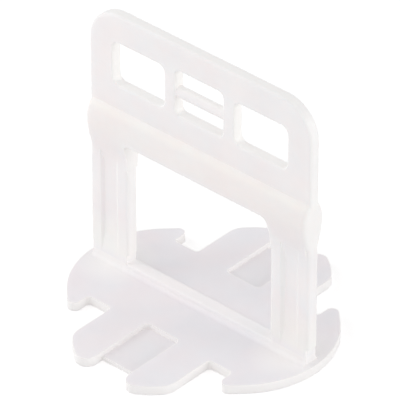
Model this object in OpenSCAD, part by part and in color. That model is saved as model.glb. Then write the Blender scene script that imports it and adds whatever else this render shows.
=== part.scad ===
// Tile levelling clip, one moulded piece of translucent polypropylene.
// Millimetres. X runs along the plate, Y through it, Z up. The underside of the base is Z = 0
// and the middle of the base is X = 0, Y = 0. The piece is the same on both sides of X = 0 and of Y = 0.

/* [Plate] */
// Width of the plate over both legs
plate_width = 40.4; // [36:0.1:44]
// Height from the underside of the base to the top of the plate
overall_height = 43.5; // [42:0.1:52]
// Thickness of the plate above the thick band
plate_thickness = 1.8; // [1.4:0.1:2.4]
// Radius of the two top corners
corner_radius = 5.5; // [3:0.5:8]
// Rounding of the outer edges of the plate
edge_radius = 0.4; // [0.2:0.05:0.65]
// Rounding of the front and back edges of the windows
window_edge = 0.25; // [0.1:0.05:0.4]

/* [Legs] */
// Thickness of the legs, which sets the width of the tile joint
joint_width = 2; // [1.6:0.1:3]
// Width of each leg
leg_width = 7.1; // [6:0.1:8]
// Rounding of the edges of the legs
leg_edge = 0.5; // [0.2:0.05:0.75]
// Width of the shallow channel down both faces of each leg
channel_width = 3.2; // [2:0.1:3.6]
// Depth of that channel
channel_depth = 0.35; // [0.1:0.05:0.5]
// How much narrower the break off neck at the foot of a leg is, on each side
neck_depth = 0.4; // [0.1:0.05:0.6]
// Height of that neck above the rib
neck_height = 1.5; // [0.8:0.1:2]

/* [Wedge window] */
// Clear height of the wedge window, from the rib to the thick band
wedge_clear = 20.9; // [18:0.1:21.5]
// Rounding of the upper corners of the wedge window
wedge_corner = 1; // [0.4:0.1:2]

/* [Thick band] */
// Height of the crown of the thick band above the top of the wedge window
band_above = 1.8; // [1:0.1:2.5]
// Height of the steep part of the band, from its crown up to the plate
band_rise = 2.9; // [2.2:0.1:3.6]
// Height of the long part of the band, from its crown down to where it would meet the face of a leg
band_fall = 5; // [3.5:0.1:6]
// Height from the crown of the band down to the end of the cove below it
band_reach = 6.8; // [6:0.1:8]
// Radius of that cove
band_cove = 10; // [8:0.5:14]
// How far the crown stands proud of each face of the legs
band_proud = 1.1; // [0.6:0.05:1.5]
// Rounding of the two ends of the thick band
band_end_radius = 0.85; // [0.5:0.05:1.2]

/* [Grip windows] */
// Distance from the side of the plate to a side window
side_margin = 4.3; // [3:0.1:6]
// Width of the post between a side window and the middle window
post_width = 2.1; // [1.5:0.1:3]
// Width of the middle window
middle_window_width = 8.6; // [6:0.1:10]
// Height of the side windows
window_height = 6.9; // [5:0.1:8]
// Distance from the top of the plate to the side windows
window_margin = 4.6; // [3.5:0.1:6]
// Extra height of the middle window at its top
middle_window_extra = 0.4; // [0:0.1:1]
// Rounding of the corners of the side windows
window_corner = 1.1; // [0.5:0.1:2]
// Rounding of the corners of the middle window
middle_window_corner = 0.8; // [0.5:0.1:1.5]
// Diameter of the round bar across the middle window
grip_bar = 1.7; // [1.2:0.1:2]

/* [Base] */
// Length of the base along the plate
base_length = 41.6; // [41:0.1:46]
// Width of the base through the plate, over the tongues before their tips are rounded
base_width = 43.2; // [42:0.1:46]
// Width of the two ends of the base across the diagonal
end_diagonal = 37.6; // [36.8:0.1:38.6]
// Width of the tongues across the diagonal
tongue_diagonal = 36.9; // [36:0.1:38]
// Thickness of the base
base_thickness = 1.4; // [1:0.1:2]
// Width of the thin floor between two tongues
recess_width = 6.2; // [5:0.1:7]
// Thickness of that floor
recess_floor = 0.65; // [0.4:0.05:0.9]
// Distance from the middle plane to the start of the thin floor
recess_start = 8.2; // [7:0.1:9]
// Distance from the middle plane to the free edge of the thin floor
recess_end = 17.3; // [16:0.1:18]
// Rounding of the inner corners of the thin floor
recess_corner = 0.8; // [0.5:0.1:1.5]
// Width of each tongue
tongue_width = 6; // [5:0.1:6.5]
// Rounding of the inner corner of each tongue tip
tongue_tip = 1.6; // [0.8:0.1:2]
// Width of the notch between a tongue and the end of the base
notch_width = 4.3; // [3.5:0.1:4.8]
// Distance from the middle plane to the inner end of a notch
notch_start = 8.9; // [8:0.1:10]
// Rounding of the inner corners of a notch
notch_corner = 0.6; // [0.5:0.05:1]
// Rounding of the point beside a notch on each end of the base
point_radius = 1; // [0.5:0.1:1.4]
// Rounding of the shoulder beside a notch on each tongue
shoulder_radius = 3; // [1:0.1:3.5]

/* [Rib] */
// Height of the rib above the top of the base
rib_height = 1.1; // [0.6:0.1:2]
// Rounding of the upper edges of the rib
rib_edge = 0.3; // [0.1:0.05:0.5]
// Radius of the cove between the rib or a leg and the top of the base
cove = 0.8; // [0.4:0.1:1.2]

/* [Hidden] */
// A length in whole hundredths, so that arcs drawn from it meet
function hundredths(length) = round(100 * length) / 100;

$fn = 96;
large_fn = 180;
far = 100;
lap = 0.05;
// How far a straight side cuts into the arc that it runs into
arc_bite = 0.005;
// Centre of an edge rounding, as a multiple of its size
edge_lean = 1.25;
rib_top = base_thickness + rib_height;
neck_top = rib_top + neck_height;
wedge_width = plate_width - 2 * leg_width;
wedge_top = rib_top + wedge_clear;
// Crown of the band, and the two radii that run from it to the plate and to the legs
band_crown = wedge_top + band_above;
band_half = joint_width / 2 + band_proud;
band_over_plate = band_half - plate_thickness / 2;
band_upper_radius = hundredths((pow(band_rise, 2) + pow(band_over_plate, 2)) / (2 * band_over_plate));
band_lower_radius = hundredths((pow(band_fall, 2) + pow(band_proud, 2)) / (2 * band_proud));
band_bottom = band_crown - band_fall;
cove_foot = band_crown - band_reach;
cove_top = band_crown - band_reach * band_lower_radius / (band_lower_radius + band_cove);
// Channel in the legs, ramped at both ends and on both sides
leg_middle = (plate_width - leg_width) / 2;
channel_gap = 0.2;
channel_foot = rib_top + channel_gap;
channel_ramp = 3.4;
channel_head = band_bottom - channel_gap;
channel_head_ramp = 2.2;
channel_slope = 0.5;
neck_slope = 0.15;
window_top = overall_height - window_margin;
window_bottom = window_top - window_height;
side_window_inner = middle_window_width / 2 + post_width;
side_window_outer = plate_width / 2 - side_margin;
// Each window as left, right, bottom, top and corner radius
side_window = [side_window_inner, side_window_outer, window_bottom, window_top, window_corner];
middle_window = [-middle_window_width / 2, middle_window_width / 2,
                 window_bottom, window_top + middle_window_extra, middle_window_corner];
grip_bar_z = (window_top + window_bottom) / 2;
tongue_side = recess_width / 2 + tongue_width;
notch_side = tongue_side + notch_width;
// Rim arcs, each centred on an axis and running into a straight diagonal
diagonal = sqrt(0.5);
end_centre = (base_length - end_diagonal) / 2 / (1 - diagonal);
end_radius = base_length / 2 - end_centre;
tip_centre = (base_width - tongue_diagonal) / 2 / (1 - diagonal);
tip_radius = base_width / 2 - tip_centre;
// Centres of the rounded point and shoulder beside a notch
end_point = [notch_side + point_radius,
             end_diagonal * diagonal - notch_side - point_radius - point_radius / diagonal];
shoulder = [tongue_side - shoulder_radius,
            tongue_diagonal * diagonal - tongue_side + shoulder_radius - shoulder_radius / diagonal];
// Centre of the rounded inner corner of a tongue tip, and its bearing from the centre of the tip arc
tip_round_x = recess_width / 2 + tongue_tip;
tip_round_y = tip_centre + sqrt(pow(tip_radius - tongue_tip, 2) - pow(tip_round_x, 2));
tip_round = [tip_round_x, tip_round_y];
tip_bearing = atan2(tip_round_y - tip_centre, tip_round_x);

// Shape helpers

module both_x() {
    children();
    mirror([1, 0, 0]) children();
}

module both_y() {
    children();
    mirror([0, 1, 0]) children();
}

module four_ways() {
    both_x() both_y() children();
}

// A drawing in Y and Z, run along X over a length centred on X = 0
module along_x(length) {
    translate([-length / 2, 0, 0]) rotate([90, 0, 90]) linear_extrude(length) children();
}

// A drawing in X and Z, run along Y over a depth centred on Y = 0
module along_y(depth) {
    translate([0, depth / 2, 0]) rotate([90, 0, 0]) linear_extrude(depth) children();
}

module centred_rectangle(wide, high) {
    translate([-wide / 2, -high / 2]) square([wide, high]);
}

module rounded_rectangle(wide, high, radius) {
    centred_rectangle(wide - 2 * radius, high);
    centred_rectangle(wide, high - 2 * radius);
    both_x() both_y() translate([wide / 2 - radius, high / 2 - radius]) circle(radius);
}

// A rectangle from x0 to x1 and z0 to z1 with rounded corners
module window_drawing(x0, x1, z0, z1, radius) {
    translate([(x0 + x1) / 2, (z0 + z1) / 2]) rounded_rectangle(x1 - x0, z1 - z0, radius);
}

// What rounding takes off an edge that points along +X and +Y of the drawing, with its corner at 0, 0.
// The arc meets both faces at a slight angle.
module edge_drawing(size) {
    back = edge_lean * size;
    difference() {
        translate([-size, -size]) square(2 * size);
        translate([-back, -back]) circle(norm([back, back - size]));
    }
}

// The same along a straight upper edge from one point to another, with the solid on the left
module straight_edge(size, from, to) {
    run = to - from;
    translate(from)
        rotate(atan2(run[1], run[0]))
            rotate([90, 0, 90])
                linear_extrude(norm(run))
                    mirror([1, 0]) edge_drawing(size);
}

// The same round an upper edge on an arc, with the solid outside the arc
module concave_edge(size, centre, radius, start, end) {
    translate(centre)
        rotate(start)
            rotate_extrude(angle = end - start)
                translate([radius, 0]) mirror([1, 0]) edge_drawing(size);
}

// Upright plate and legs

// Flat sheet with rounded edges down both sides, across the top and round the two top corners
module sheet(thickness, bottom, top) {
    inner = plate_width / 2 - corner_radius;
    corner_z = top - corner_radius;
    translate([0, 0, bottom])
        linear_extrude(corner_z - bottom)
            rounded_rectangle(plate_width, thickness, edge_radius);
    along_x(2 * inner)
        intersection() {
            translate([0, top - far / 2]) rounded_rectangle(thickness, far, edge_radius);
            translate([-far / 2, corner_z - edge_radius]) square([far, corner_radius + 2 * edge_radius]);
        }
    both_x()
        translate([inner, 0, corner_z])
            rotate([90, 0, 0])
                rotate_extrude(angle = 90)
                    intersection() {
                        translate([0, -thickness / 2]) square([corner_radius, thickness]);
                        rounded_rectangle(2 * corner_radius, thickness, edge_radius);
                    }
}

// Two lower legs, each with four rounded edges
module legs() {
    foot = base_thickness / 2;
    both_x()
        translate([leg_middle, 0, foot])
            linear_extrude(band_crown - foot)
                rounded_rectangle(leg_width, joint_width, leg_edge);
}

// Drum along X as long as the plate is wide, with rounded rims
module drum(radius) {
    rotate([0, 90, 0])
        rotate_extrude($fn = large_fn)
            intersection() {
                rounded_rectangle(2 * radius, plate_width, band_end_radius);
                translate([0, -plate_width / 2]) square([radius, plate_width]);
            }
}

// What two drums have in common above the level where they are widest
module half_band(radius) {
    intersection() {
        translate([0, band_half - radius, 0]) drum(radius);
        translate([0, radius - band_half, 0]) drum(radius);
        translate([-plate_width, -far / 2, 0]) cube([2 * plate_width, far, far]);
    }
}

// Slender cove on both faces, from the long part of the band down to the legs
module cove_under_band() {
    face = joint_width / 2;
    along_x(plate_width - 2 * (leg_edge + lap))
        both_x()
            difference() {
                translate([0, cove_foot]) square([face + band_proud, cove_top - cove_foot]);
                translate([face + band_cove, cove_foot]) circle(band_cove, $fn = large_fn);
            }
}

// Band across the plate, steep above its crown and long below it
module thick_band() {
    translate([0, 0, band_crown]) {
        half_band(band_upper_radius);
        mirror([0, 0, 1]) half_band(band_lower_radius);
    }
    cove_under_band();
}

module wedge_window() {
    half = wedge_width / 2;
    along_y(far) window_drawing(-half, half, base_thickness / 2, wedge_top, wedge_corner);
}

module window_hole(window) {
    along_y(far) window_drawing(window[0], window[1], window[2], window[3], window[4]);
}

// Drawings of a window's edges are put on both faces of the plate
module on_both_faces() {
    both_y() translate([0, -plate_thickness / 2, 0]) rotate([90, 0, 0]) children();
}

module straight_window_edges(window) {
    radius = window[4];
    low = [window[0] + radius, window[2] + radius];
    high = [window[1] - radius, window[3] - radius];
    on_both_faces() {
        straight_edge(window_edge, [window[0], low[1]], [window[0], high[1]]);
        straight_edge(window_edge, [low[0], window[3]], [high[0], window[3]]);
        straight_edge(window_edge, [window[1], high[1]], [window[1], low[1]]);
        straight_edge(window_edge, [high[0], window[2]], [low[0], window[2]]);
    }
}

module round_window_edges(window) {
    radius = window[4];
    low = [window[0] + radius, window[2] + radius];
    high = [window[1] - radius, window[3] - radius];
    on_both_faces() {
        concave_edge(window_edge, high, radius, 0, 90);
        concave_edge(window_edge, [low[0], high[1]], radius, 90, 180);
        concave_edge(window_edge, low, radius, 180, 270);
        concave_edge(window_edge, [high[0], low[1]], radius, 270, 360);
    }
}

// Plate with its three windows, whose edges are rounded on both faces
module windowed_plate() {
    difference() {
        difference() {
            sheet(plate_thickness, band_crown, overall_height);
            both_x() window_hole(side_window);
            window_hole(middle_window);
            both_x() straight_window_edges(side_window);
            straight_window_edges(middle_window);
        }
        both_x() round_window_edges(side_window);
        round_window_edges(middle_window);
    }
}

module round_grip_bar() {
    length = middle_window_width + post_width;
    translate([-length / 2, 0, grip_bar_z])
        rotate([0, 90, 0])
            cylinder(d = grip_bar, h = length);
}

// Shallow channel in the front face of the right leg, ramped at its ends and sides
module leg_channel() {
    face = -joint_width / 2;
    bed = face + channel_depth;
    outside = face - joint_width;
    half = channel_width / 2;
    translate([leg_middle, 0, 0])
        intersection() {
            along_x(leg_width)
                polygon([
                    [outside, channel_foot],
                    [face, channel_foot],
                    [bed, channel_foot + channel_ramp],
                    [bed, channel_head - channel_head_ramp],
                    [face, channel_head],
                    [outside, channel_head]
                ]);
            linear_extrude(far)
                polygon([
                    [-half, outside],
                    [half, outside],
                    [half, face],
                    [half - 2 * channel_slope, face + 2 * channel_depth],
                    [2 * channel_slope - half, face + 2 * channel_depth],
                    [-half, face]
                ]);
        }
}

// Break off neck at the foot of the right leg, taken off its inner and outer side
module leg_neck() {
    side = leg_width / 2;
    foot = base_thickness / 2;
    translate([leg_middle, 0, 0])
        both_x()
            along_y(2 * joint_width)
                polygon([
                    [side - neck_depth, foot],
                    [side - neck_depth, neck_top - neck_slope],
                    [side, neck_top],
                    [side + neck_depth, neck_top],
                    [side + neck_depth, foot]
                ]);
}

module upright() {
    difference() {
        union() {
            legs();
            thick_band();
        }
        wedge_window();
        four_ways() leg_channel();
        both_x() leg_neck();
    }
    windowed_plate();
    round_grip_bar();
}

// Base

// One lobe pointing along +X: an arc with its centre on the axis, then straight diagonals on both sides
module lobe_drawing(centre, radius) {
    tangent = radius * diagonal - arc_bite;
    reach = centre + 2 * tangent;
    translate([centre, 0]) circle(radius, $fn = large_fn);
    polygon([
        [centre + tangent, tangent],
        [0, reach],
        [0, -reach],
        [centre + tangent, -tangent]
    ]);
}

// What rounding takes off a corner of the base, between two bearings from the centre of the rounding
module corner_drawing(centre, radius, start, end) {
    steps = 9;
    reach = 3 * radius;
    rim = [for (i = [0 : steps]) start + (end - start) * i / steps];
    difference() {
        polygon(concat([centre], [for (bearing = rim) centre + reach * [cos(bearing), sin(bearing)]]));
        translate(centre) circle(radius);
    }
}

// The two ends and the two pairs of tongues, before the notches between them are cut
module lobes_drawing() {
    both_x()
        intersection() {
            lobe_drawing(end_centre, end_radius);
            translate([notch_side - notch_corner, -far]) square(2 * far);
        }
    both_y()
        intersection() {
            rotate(90) lobe_drawing(tip_centre, tip_radius);
            translate([-tongue_side - notch_corner, 0]) square([2 * (tongue_side + notch_corner), far]);
        }
    centred_rectangle(2 * notch_side + notch_width, 2 * notch_start + notch_corner);
}

module base_drawing() {
    difference() {
        lobes_drawing();
        four_ways() {
            window_drawing(tongue_side, notch_side, notch_start, far, notch_corner);
            corner_drawing(end_point, point_radius, 45, 180);
            corner_drawing(shoulder, shoulder_radius, 0, 45);
            corner_drawing(tip_round, tongue_tip, tip_bearing, 180);
        }
        both_y() translate([-recess_width / 2, recess_end]) square([recess_width, far]);
    }
}

module base() {
    recess_side = recess_width / 2;
    difference() {
        linear_extrude(base_thickness) base_drawing();
        both_y()
            translate([0, 0, recess_floor])
                linear_extrude(base_thickness)
                    window_drawing(-recess_side, recess_side, recess_start, base_width, recess_corner);
    }
}

// Low rib between the legs and under them, with a cove down to the base on both sides
module rib() {
    foot = base_thickness / 2;
    half = joint_width / 2;
    cove_height = min(cove, rib_height - rib_edge);
    along_x(plate_width - 2 * neck_depth) {
        translate([0, rib_top - far / 2])
            intersection() {
                rounded_rectangle(joint_width, far, rib_edge);
                translate([-half, foot + far / 2 - rib_top]) square([joint_width, far]);
            }
        both_x()
            difference() {
                translate([0, foot]) square([half + cove, base_thickness - foot + cove_height]);
                translate([half + cove, base_thickness + cove]) circle(cove);
            }
    }
}

module clip() {
    color([0.93, 0.92, 0.92]) {
        base();
        rib();
        upright();
    }
}

clip();
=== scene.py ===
"""Tile levelling clip: finish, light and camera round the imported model."""
import math

import bpy
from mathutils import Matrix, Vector


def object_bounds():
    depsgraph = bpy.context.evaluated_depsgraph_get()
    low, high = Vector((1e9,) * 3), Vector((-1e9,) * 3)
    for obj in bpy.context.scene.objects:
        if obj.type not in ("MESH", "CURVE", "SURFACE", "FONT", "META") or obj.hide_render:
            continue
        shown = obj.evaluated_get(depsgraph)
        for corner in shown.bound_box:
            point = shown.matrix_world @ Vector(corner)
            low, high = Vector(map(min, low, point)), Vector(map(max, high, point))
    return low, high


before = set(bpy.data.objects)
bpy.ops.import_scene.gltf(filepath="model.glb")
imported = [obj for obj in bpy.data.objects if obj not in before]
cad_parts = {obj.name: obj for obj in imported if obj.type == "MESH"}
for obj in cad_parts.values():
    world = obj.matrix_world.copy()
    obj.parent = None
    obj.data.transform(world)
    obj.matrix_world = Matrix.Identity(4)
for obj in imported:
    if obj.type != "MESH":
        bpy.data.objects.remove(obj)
cad_low, cad_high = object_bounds()

# Lengths are in metres, angles in degrees, power in watts and colours in linear light
WHITE = (1.0, 1.0, 1.0, 1.0)

# Camera, fitted to the plate and the base; it aims a little off the middle of the clip
VIEW_AZIMUTH = 41.879
VIEW_ELEVATION = 35.096
VIEW_DISTANCE = 0.8
VIEW_MIDDLE = Vector((0.0, 0.0, 0.022222))
VIEW_RIGHT = -0.00042
VIEW_UP = -0.002368
VIEW_NEAR = 0.01
VIEW_FAR = 20.0
# Lens and sensor, which Blender takes in millimetres
VIEW_LENS = 525.4
VIEW_SENSOR = 36.0

# Light: an even white sky, and round lamps that aim at the middle of the clip
SKY_LIGHT = 0.665
SKY_SEEN = 1.0
# Name, azimuth, elevation, distance, width and power of each lamp
LAMPS = (
    ("right", 110.0, 15.0, 0.6, 0.35, 0.85),
    ("front", 10.0, 30.0, 0.6, 0.35, 0.3),
    ("left", -60.0, 30.0, 0.3, 0.25, 0.23),
)
# Light goes many times round a pale translucent piece on a white table
MAX_BOUNCES = 24
DIFFUSE_BOUNCES = 16

# Floor: a hair below the underside, with some light added for rays that show it
FLOOR_SIZE = 3.0
FLOOR_DROP = 0.00005
FLOOR_TINT = (0.94, 0.94, 0.94, 1.0)
FLOOR_LIFT = 0.25

# Heights on the clip: top of the base, just above the rib, and where the legs become the plate
BASE_TOP = 0.0014
RIB_CLEAR = 0.0027
PLATE_FOOT = 0.021
# Middle of a leg, and a limit that the windows lie within, both along X from the clip's middle
LEG_PLACE = 0.01665
WINDOW_LIMIT = 0.0175

# Tints by height, partly the melt's own colour and partly painted light: cool, with painted shade, in
# the thin base; pale with a painted glow on the rib; warm with a painted glow at the feet; warm along
# the thick band, with a painted highlight on its crest
TINTS_AND_PAINTED_LIGHT = (
    (0.0007, (0.93, 0.905, 0.92, 1.0)),
    (0.0014, (0.93, 0.9, 0.918, 1.0)),
    (0.002, (0.972, 0.945, 0.944, 1.0)),
    (0.0026, (0.978, 0.952, 0.95, 1.0)),
    (0.004, (1.0, 0.98, 0.94, 1.0)),
    (0.0065, (0.985, 0.957, 0.925, 1.0)),
    (0.01, (0.928, 0.902, 0.896, 1.0)),
    (0.022, (0.925, 0.897, 0.888, 1.0)),
    (0.025, (0.942, 0.906, 0.882, 1.0)),
    (0.0268, (0.938, 0.905, 0.884, 1.0)),
    (0.0276, (0.972, 0.934, 0.895, 1.0)),
    (0.0285, (0.923, 0.898, 0.889, 1.0)),
)
# Height at which the row of tints ends, a little above the clip
TINT_TOP = 0.045

# Drift between two tints, and cloudy patches that dim them; a noise scale is per metre
ROSE_TINT = (1.0, 0.978, 0.985, 1.0)
BLUE_TINT = (0.972, 0.985, 1.0, 1.0)
DRIFT_SCALE = 150.0
DRIFT_RANGE = (0.35, 0.65)
CLOUD_TINT = (0.968, 0.962, 0.968, 1.0)
CLOUD_SCALE = 110.0
CLOUD_DETAIL = 3.0
CLOUD_ROUGHNESS = 0.55
CLOUD_RANGE = (0.35, 0.7)

# Painted glow: a pale patch of painted light on the base and the rib round each foot
FOOT_PAINTED_GLOW = (0.985, 0.958, 0.95, 1.0)
FOOT_NEAR = 0.0015
FOOT_FAR = 0.0065
FOOT_FADE = 0.0002

# Painted light on the pale walls of the windows; ledges, the plate's outer sides and the legs have a
# share of it
WALL_PAINTED_LIGHT = (1.0, 0.982, 0.96, 1.0)
LEDGE_SHARE = 0.7
OUTER_SHARE = 0.5
LEG_SHARE = 0.6
# Part of the normal along X that makes a wall, and along Z that makes a ledge
WALL_FACING = (0.3, 0.75)
LEDGE_FACING = (0.7, 0.95)
WALL_FADE = 0.0005
LEG_FADE = 0.006
OUTER_FADE = 0.002

# Painted glow on the pale sides round the base, where little of the normal is along Z
SIDE_PAINTED_GLOW = (0.972, 0.947, 0.94, 1.0)
SIDE_FACING = (0.6, 0.3)
SIDE_FADE = 0.0001

# Painted highlight: a thin pale line along the edges, where the face and a rounded edge are less alike
EDGE_PAINTED_HIGHLIGHT = (0.995, 0.968, 0.945, 1.0)
EDGE_REACH = 0.0004
EDGE_SAMPLES = 8
EDGE_LIKENESS = (0.99, 0.8)
EDGE_SHARE = 0.8

# Light that wanders inside the plastic: weak near the table and in the walls with painted light
REFRACTION = 1.49
GLOW_REACH = 0.002
GLOW_RADIUS = (1.0, 0.92, 0.9)
GLOW_HEIGHTS = (0.006, 0.01)
GLOW_SHARES = (0.2, 0.65)
WALL_GLOW = 0.2

# Satin finish that varies a little, slow waves of the shrunk skin and fine grain of the mould
SATIN_SCALE = 420.0
SATIN_DETAIL = 4.0
SATIN_ROUGHNESS = 0.6
SATIN_RANGE = (0.3, 0.7)
SATIN_FINISH = (0.34, 0.46)
WAVE_SCALE = 260.0
WAVE_STRENGTH = 0.35
WAVE_HEIGHT = 0.00006
GRAIN_SCALE = 5200.0
GRAIN_STRENGTH = 0.25
GRAIN_HEIGHT = 0.00001


def direction(azimuth, elevation):
    """Unit vector from the clip towards a camera or lamp; azimuth 0 is in front, on the -Y side."""
    turn, rise = math.radians(azimuth), math.radians(elevation)
    return Vector((math.sin(turn) * math.cos(rise), -math.cos(turn) * math.cos(rise), math.sin(rise)))


def aim(obj, place, target):
    """Put a camera or lamp in its place, looking at the target."""
    obj.location = place
    obj.rotation_euler = (target - place).to_track_quat("-Z", "Y").to_euler()


def make_camera():
    """Camera at the fitted angle, with its aim moved within the picture."""
    turn = math.radians(VIEW_AZIMUTH)
    back = direction(VIEW_AZIMUTH, VIEW_ELEVATION)
    right = Vector((math.cos(turn), math.sin(turn), 0.0))
    up = back.cross(right)
    target = VIEW_MIDDLE + right * VIEW_RIGHT + up * VIEW_UP
    data = bpy.data.cameras.new("camera")
    data.lens = VIEW_LENS
    data.sensor_width = VIEW_SENSOR
    data.clip_start = VIEW_NEAR
    data.clip_end = VIEW_FAR
    camera = bpy.data.objects.new("camera", data)
    bpy.context.collection.objects.link(camera)
    aim(camera, target + back * VIEW_DISTANCE, target)
    bpy.context.scene.camera = camera


def make_lamp(name, azimuth, elevation, distance, width, watts):
    """Round white lamp that aims at the middle of the clip."""
    data = bpy.data.lights.new(name, "AREA")
    data.shape = "DISK"
    data.size = width
    data.energy = watts
    lamp = bpy.data.objects.new(name, data)
    bpy.context.collection.objects.link(lamp)
    aim(lamp, VIEW_MIDDLE + direction(azimuth, elevation) * distance, VIEW_MIDDLE)


class Tree:
    """Short calls for a node tree; a value is a number, a colour or another node's output."""

    def __init__(self, owner):
        owner.use_nodes = True
        self.nodes, self.links = owner.node_tree.nodes, owner.node_tree.links
        self.nodes.clear()

    def add(self, kind, **settings):
        """New node; a setting that starts with in_ is the input of that name."""
        node = self.nodes.new(kind)
        for key, value in settings.items():
            if key.startswith("in_"):
                node.inputs[key.removeprefix("in_").replace("_", " ")].default_value = value
            else:
                setattr(node, key, value)
        return node

    def put(self, value, target):
        """Give an input its value."""
        if isinstance(value, bpy.types.NodeSocket):
            self.links.new(value, target)
        else:
            target.default_value = value

    def blend(self, share, first, second, kind="MIX"):
        """First colour, with this share of the second one mixed in or multiplied."""
        node = self.add("ShaderNodeMix", data_type="RGBA", blend_type=kind)
        # The node has inputs for other kinds of data too, so its colours are found by number
        for value, number in ((share, 0), (first, 6), (second, 7)):
            self.put(value, node.inputs[number])
        return node.outputs[2]

    def ramp(self, value, start, end, low=0.0, high=1.0):
        """Low at the start, high at the end, and even in between."""
        node = self.add(
            "ShaderNodeMapRange",
            in_From_Min=start,
            in_From_Max=end,
            in_To_Min=low,
            in_To_Max=high,
        )
        self.put(value, node.inputs["Value"])
        return node.outputs["Result"]

    def calculate(self, operation, *values):
        """Number from one or two numbers."""
        node = self.add("ShaderNodeMath", operation=operation)
        for value, target in zip(values, node.inputs):
            self.put(value, target)
        return node.outputs[0]

    def times(self, first, second):
        return self.calculate("MULTIPLY", first, second)

    def less(self, first, second):
        return self.calculate("SUBTRACT", first, second)

    def larger(self, first, second):
        return self.calculate("MAXIMUM", first, second)

    def unsigned(self, value):
        return self.calculate("ABSOLUTE", value)

    def compare(self, operation, *vectors):
        """Number from vectors: a length or a dot product."""
        node = self.add("ShaderNodeVectorMath", operation=operation)
        for vector, target in zip(vectors, node.inputs):
            self.put(vector, target)
        return node.outputs["Value"]

    def parts(self, vector):
        """The X, Y and Z of a vector."""
        node = self.add("ShaderNodeSeparateXYZ")
        self.put(vector, node.inputs[0])
        return node.outputs

    def noise(self, place, scale, detail=2.0, roughness=0.5):
        """Soft random number from 0 to 1."""
        node = self.add("ShaderNodeTexNoise", in_Scale=scale, in_Detail=detail, in_Roughness=roughness)
        self.put(place, node.inputs["Vector"])
        return node.outputs["Fac"]

    def bump(self, height, strength, distance, normal=None):
        """Normal that follows a height, on top of another normal if one is given."""
        node = self.add("ShaderNodeBump", in_Strength=strength, in_Distance=distance)
        self.put(height, node.inputs["Height"])
        if normal:
            self.put(normal, node.inputs["Normal"])
        return node.outputs["Normal"]


def seen_rays(tree):
    """1 for rays that show the background itself: camera, glossy and transmission rays."""
    path = tree.add("ShaderNodeLightPath").outputs
    seen = tree.larger(path["Is Camera Ray"], path["Is Glossy Ray"])
    return tree.larger(seen, path["Is Transmission Ray"])


def make_world():
    """Even white light from all round; rays that show the background see plain white."""
    world = bpy.data.worlds.new("studio")
    bpy.context.scene.world = world
    tree = Tree(world)
    light = tree.add("ShaderNodeBackground", in_Color=WHITE, in_Strength=SKY_LIGHT)
    seen = tree.add("ShaderNodeBackground", in_Color=WHITE, in_Strength=SKY_SEEN)
    mix = tree.add("ShaderNodeMixShader")
    out = tree.add("ShaderNodeOutputWorld")
    tree.put(seen_rays(tree), mix.inputs["Fac"])
    tree.put(light.outputs[0], mix.inputs[1])
    tree.put(seen.outputs[0], mix.inputs[2])
    tree.put(mix.outputs[0], out.inputs["Surface"])


def white_table():
    """Matt white that takes the clip's shadow; rays that show it see it lifted to white."""
    material = bpy.data.materials.new("white_table")
    tree = Tree(material)
    matt = tree.add("ShaderNodeBsdfDiffuse", in_Color=FLOOR_TINT)
    lift = tree.add("ShaderNodeEmission", in_Color=WHITE)
    both = tree.add("ShaderNodeAddShader")
    out = tree.add("ShaderNodeOutputMaterial")
    tree.put(tree.times(seen_rays(tree), FLOOR_LIFT), lift.inputs["Strength"])
    tree.put(matt.outputs[0], both.inputs[0])
    tree.put(lift.outputs[0], both.inputs[1])
    tree.put(both.outputs[0], out.inputs["Surface"])
    return material


def make_floor():
    """Square white floor."""
    half = FLOOR_SIZE / 2
    corners = [(-half, -half, 0.0), (half, -half, 0.0), (half, half, 0.0), (-half, half, 0.0)]
    mesh = bpy.data.meshes.new("floor")
    mesh.from_pydata(corners, [], [(0, 1, 2, 3)])
    mesh.materials.append(white_table())
    floor = bpy.data.objects.new("floor", mesh)
    floor.location.z = cad_low[2] - FLOOR_DROP
    bpy.context.collection.objects.link(floor)


def tint_and_painted_light_by_height(tree, height):
    """Colour, partly the melt's tint and partly painted light, that runs through the tints from the
    base to the plate.
    """
    node = tree.add("ShaderNodeValToRGB")
    stops = node.color_ramp.elements
    while len(stops) < len(TINTS_AND_PAINTED_LIGHT):
        stops.new(1.0)
    for stop, (level, tint_and_painted_light) in zip(stops, TINTS_AND_PAINTED_LIGHT):
        stop.position = level / TINT_TOP
        stop.color = tint_and_painted_light
    tree.put(tree.ramp(height, 0.0, TINT_TOP), node.inputs["Fac"])
    return node.outputs["Color"]


def melt_tint_and_painted_light(tree, place, at):
    """Tint by height with painted shade, glow and highlight, drifting between rose and blue, with
    cloudiness from the melt.
    """
    drift = tree.blend(tree.ramp(tree.noise(place, DRIFT_SCALE), *DRIFT_RANGE), ROSE_TINT, BLUE_TINT)
    cloud = tree.ramp(tree.noise(place, CLOUD_SCALE, CLOUD_DETAIL, CLOUD_ROUGHNESS), *CLOUD_RANGE)
    tint_and_painted_light = tree.blend(1.0, tint_and_painted_light_by_height(tree, at["Z"]), drift, "MULTIPLY")
    return tree.blend(cloud, tint_and_painted_light, CLOUD_TINT, "MULTIPLY")


def painted_glow_near_feet(tree, at):
    """Share of the painted glow: 1 on the base and the rib close to a foot, fading to 0 further away.
    """
    away = tree.add("ShaderNodeCombineXYZ")
    tree.put(tree.less(tree.unsigned(at["X"]), LEG_PLACE), away.inputs["X"])
    tree.put(at["Y"], away.inputs["Y"])
    near = tree.ramp(tree.compare("LENGTH", away.outputs[0]), FOOT_FAR, FOOT_NEAR)
    return tree.times(near, tree.ramp(at["Z"], RIB_CLEAR, RIB_CLEAR - FOOT_FADE))


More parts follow.
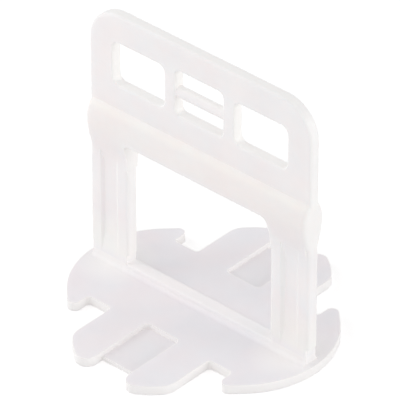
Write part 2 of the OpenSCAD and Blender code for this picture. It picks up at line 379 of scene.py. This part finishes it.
def painted_light_on_walls(tree, at, facing):
    """Share of the painted light: 1 on the walls of the windows, and less on ledges, outer sides and
    the legs.
    """
    sideways = tree.ramp(tree.unsigned(facing["X"]), *WALL_FACING)
    level = tree.ramp(tree.unsigned(facing["Z"]), *LEDGE_FACING, 0.0, LEDGE_SHARE)
    inner = tree.ramp(tree.unsigned(at["X"]), WINDOW_LIMIT, WINDOW_LIMIT - WALL_FADE)
    inner = tree.times(inner, tree.ramp(at["Z"], PLATE_FOOT - LEG_FADE, PLATE_FOOT, LEG_SHARE, 1.0))
    outer = tree.ramp(at["Z"], PLATE_FOOT - OUTER_FADE, PLATE_FOOT, 0.0, OUTER_SHARE)
    above = tree.ramp(at["Z"], RIB_CLEAR, RIB_CLEAR + WALL_FADE)
    return tree.times(tree.times(tree.larger(sideways, level), tree.larger(inner, outer)), above)


def painted_glow_on_sides(tree, at, facing):
    """Share of the painted glow: 1 on the upright sides round the base."""
    upright = tree.ramp(tree.unsigned(facing["Z"]), *SIDE_FACING)
    return tree.times(upright, tree.ramp(at["Z"], BASE_TOP + SIDE_FADE, BASE_TOP))


def painted_highlight_on_edges(tree, normal):
    """Share of the painted edge highlight, which is 0 away from the edges."""
    rounded = tree.add("ShaderNodeBevel", samples=EDGE_SAMPLES, in_Radius=EDGE_REACH).outputs[0]
    return tree.ramp(tree.compare("DOT_PRODUCT", rounded, normal), *EDGE_LIKENESS, 0.0, EDGE_SHARE)


def polypropylene():
    """Natural polypropylene: milky and translucent, faintly cloudy, with a satin mould finish and with
    light and shade painted into its colour.
    """
    material = bpy.data.materials.new("natural_polypropylene")
    tree = Tree(material)
    place = tree.add("ShaderNodeTexCoord").outputs["Object"]
    normal = tree.add("ShaderNodeNewGeometry").outputs["Normal"]
    at, facing = tree.parts(place), tree.parts(normal)
    plastic = tree.add(
        "ShaderNodeBsdfPrincipled",
        in_IOR=REFRACTION,
        in_Subsurface_Radius=GLOW_RADIUS,
        in_Subsurface_Scale=GLOW_REACH,
    )

    # Colour of the melt, with painted light in it: painted shade, glow and highlight by height, a
    # painted glow round the feet and the base's sides, painted light on the window walls and a painted
    # highlight along the edges
    painted_wall_light = painted_light_on_walls(tree, at, facing)
    tint_and_painted_light = melt_tint_and_painted_light(tree, place, at)
    # Painted glow: pale painted light round each foot
    tint_and_painted_light = tree.blend(painted_glow_near_feet(tree, at), tint_and_painted_light, FOOT_PAINTED_GLOW)
    # Painted light on the window walls, ledges, outer sides and legs
    tint_and_painted_light = tree.blend(painted_wall_light, tint_and_painted_light, WALL_PAINTED_LIGHT)
    # Painted glow on the base's upright sides
    tint_and_painted_light = tree.blend(painted_glow_on_sides(tree, at, facing), tint_and_painted_light, SIDE_PAINTED_GLOW)
    # Painted highlight along the edges
    tint_and_painted_light = tree.blend(painted_highlight_on_edges(tree, normal), tint_and_painted_light, EDGE_PAINTED_HIGHLIGHT)
    tree.put(tint_and_painted_light, plastic.inputs["Base Color"])

    # Light that wanders inside
    glow = tree.ramp(at["Z"], *GLOW_HEIGHTS, *GLOW_SHARES)
    glow = tree.times(glow, tree.ramp(painted_wall_light, 0.0, 1.0, 1.0, WALL_GLOW))
    tree.put(glow, plastic.inputs["Subsurface Weight"])

    # Satin finish, waves and grain
    satin = tree.noise(place, SATIN_SCALE, SATIN_DETAIL, SATIN_ROUGHNESS)
    tree.put(tree.ramp(satin, *SATIN_RANGE, *SATIN_FINISH), plastic.inputs["Roughness"])
    waves = tree.bump(tree.noise(place, WAVE_SCALE), WAVE_STRENGTH, WAVE_HEIGHT)
    grain = tree.bump(tree.noise(place, GRAIN_SCALE), GRAIN_STRENGTH, GRAIN_HEIGHT, waves)
    tree.put(grain, plastic.inputs["Normal"])

    out = tree.add("ShaderNodeOutputMaterial")
    tree.put(plastic.outputs[0], out.inputs["Surface"])
    return material


bpy.context.scene.view_settings.view_transform = "Standard"
bpy.context.scene.cycles.max_bounces = MAX_BOUNCES
bpy.context.scene.cycles.diffuse_bounces = DIFFUSE_BOUNCES
make_camera()
make_world()
make_floor()
for lamp in LAMPS:
    make_lamp(*lamp)

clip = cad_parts["clip"]
clip.data.materials.clear()
clip.data.materials.append(polypropylene())
